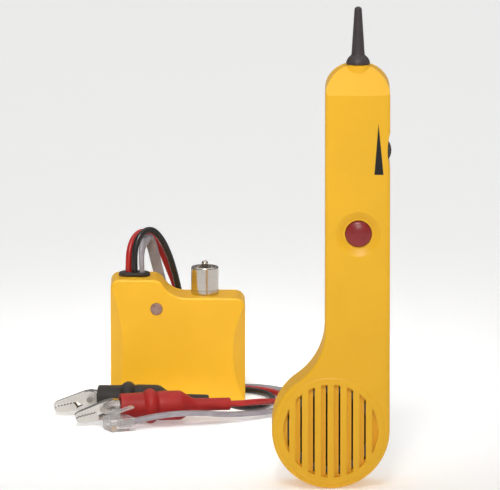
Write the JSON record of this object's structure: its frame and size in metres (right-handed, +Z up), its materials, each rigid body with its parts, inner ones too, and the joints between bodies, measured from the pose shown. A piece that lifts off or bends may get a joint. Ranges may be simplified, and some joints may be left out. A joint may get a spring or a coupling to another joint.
{
  "type": "tone probe kit",
  "caption": "Cable tracing kit: a boxy tone generator with clip leads, flat modular test cord and push-on coax plug, and a long inductive probe with a round speaker head.",
  "frame": {"origin": "centre of the tone generator's base, on the surface it stands on", "axes": "+X to the right seen from the front of both instruments, +Y to the back (the button and grille of the probe face -Y), +Z up along the coax plug and the probe"},
  "size_m": [0.1581, 0.2512, 0.2222],
  "materials": {
    "case_yellow": "satin moulded ABS, fine texture",
    "screw_steel": "zinc plated",
    "black_rubber": "soft satin moulded rubber",
    "led_lens": "clear frosted lens",
    "circuit_board": "green solder mask",
    "switch_plastic": "moulded",
    "black_plastic": "satin moulded",
    "battery_can": "lithographed steel can, plain",
    "nickel_plate": "bright nickel plate",
    "white_insulator": "moulded polyethylene",
    "red_pvc": "soft glossy PVC jacket",
    "black_pvc": "soft glossy PVC jacket",
    "grey_pvc": "soft satin flat PVC jacket",
    "red_rubber": "soft satin moulded rubber",
    "clip_steel": "nickel-plated pressed steel",
    "spring_steel": "spring wire",
    "clear_plastic": "clear moulded polycarbonate",
    "gold_contacts": "gold-flashed contacts",
    "pickup_metal": "bare rod",
    "button_maroon": "glossy moulded cap",
    "pot_can": "pressed can",
    "speaker_steel": "pressed basket",
    "speaker_paper": "paper cone",
    "magnet_metal": "ferrite in a plated cup"
  },
  "bodies": {
    "generator": {"gen_front_shell": "case_yellow", "gen_back_shell": "case_yellow", "gen_case_screws": "screw_steel", "gen_grommet": "black_rubber", "gen_status_led": "led_lens", "gen_circuit_board": "circuit_board", "gen_switch_body": "switch_plastic", "gen_battery": "battery_can", "gen_battery_snap": "black_plastic", "coax_sleeve": "nickel_plate", "coax_insulator": "white_insulator", "coax_center_pin": "nickel_plate", "coax_nut": "screw_steel", "red_lead": "red_pvc", "black_lead": "black_pvc", "modular_cord": "grey_pvc", "red_boot": "red_rubber", "red_lower_jaw": "clip_steel", "red_clip_pivot": "screw_steel", "red_clip_spring": "spring_steel", "black_boot": "black_rubber", "black_lower_jaw": "clip_steel", "black_clip_pivot": "screw_steel", "black_clip_spring": "spring_steel", "plug_body": "clear_plastic", "plug_contacts": "gold_contacts"},
    "generator_door": {"gen_battery_door": "case_yellow"},
    "mode_switch": {"gen_switch_slider": "black_plastic"},
    "red_jaw": {"red_upper_jaw": "clip_steel"},
    "black_jaw": {"black_upper_jaw": "clip_steel"},
    "latch": {"plug_latch": "clear_plastic"},
    "probe": {"probe_front_shell": "case_yellow", "probe_back_shell": "case_yellow", "probe_case_screws": "screw_steel", "probe_tip": "black_plastic", "pickup_rod": "pickup_metal", "button_switch": "switch_plastic", "volume_pot": "pot_can", "probe_circuit_board": "circuit_board", "speaker_frame": "speaker_steel", "speaker_cone": "speaker_paper", "speaker_magnet": "magnet_metal", "probe_battery": "battery_can", "probe_battery_snap": "black_plastic"},
    "button": {"probe_button": "button_maroon"},
    "wheel": {"volume_wheel": "black_plastic"},
    "probe_door": {"probe_battery_door": "case_yellow"}
  },
  "joints": [
    {"name": "mode_switch_slide", "type": "slide", "parent": "generator", "child": "mode_switch", "axis": [0, 0, 1], "range_m": [-0.0035, 0.0035]},
    {"name": "generator_door_slide", "type": "slide", "parent": "generator", "child": "generator_door", "axis": [-1, 0, 0], "range_m": [0, 0.05]},
    {"name": "red_jaw_hinge", "type": "hinge", "parent": "generator", "child": "red_jaw", "pos_m": [-0.03072, -0.0655, 0.0079], "axis": [-0.1392, 0.9903, 0], "range_deg": [0, 30], "stiffness_Nm_per_rad": 0.06, "springref_deg": -28.65},
    {"name": "black_jaw_hinge", "type": "hinge", "parent": "generator", "child": "black_jaw", "pos_m": [-0.04113, -0.04249, 0.0079], "axis": [0.1392, 0.9903, 0], "range_deg": [0, 30], "stiffness_Nm_per_rad": 0.06, "springref_deg": -28.65},
    {"name": "plug_latch_flex", "type": "hinge", "parent": "generator", "child": "latch", "pos_m": [-0.03202, -0.08216, 0.0062], "axis": [-0.4226, 0.9063, 0], "range_deg": [0, 12], "stiffness_Nm_per_rad": 0.02, "springref_deg": -5.73},
    {"name": "probe_lift", "type": "slide", "parent": "generator", "child": "probe", "axis": [0, 0, 1], "range_m": [0, 0.25]},
    {"name": "button_press", "type": "slide", "parent": "probe", "child": "button", "axis": [0, 1, 0], "range_m": [0, 0.0015], "stiffness_N_per_m": 800, "springref_m": -0.001},
    {"name": "volume_turn", "type": "hinge", "parent": "probe", "child": "wheel", "pos_m": [0.0916, -0.2206, 0.1573], "axis": [0, 1, 0], "range_deg": [0, 270]},
    {"name": "probe_door_lift_off", "type": "slide", "parent": "probe", "child": "probe_door", "axis": [0, 1, 0], "range_m": [0, 0.03]}
  ]
}
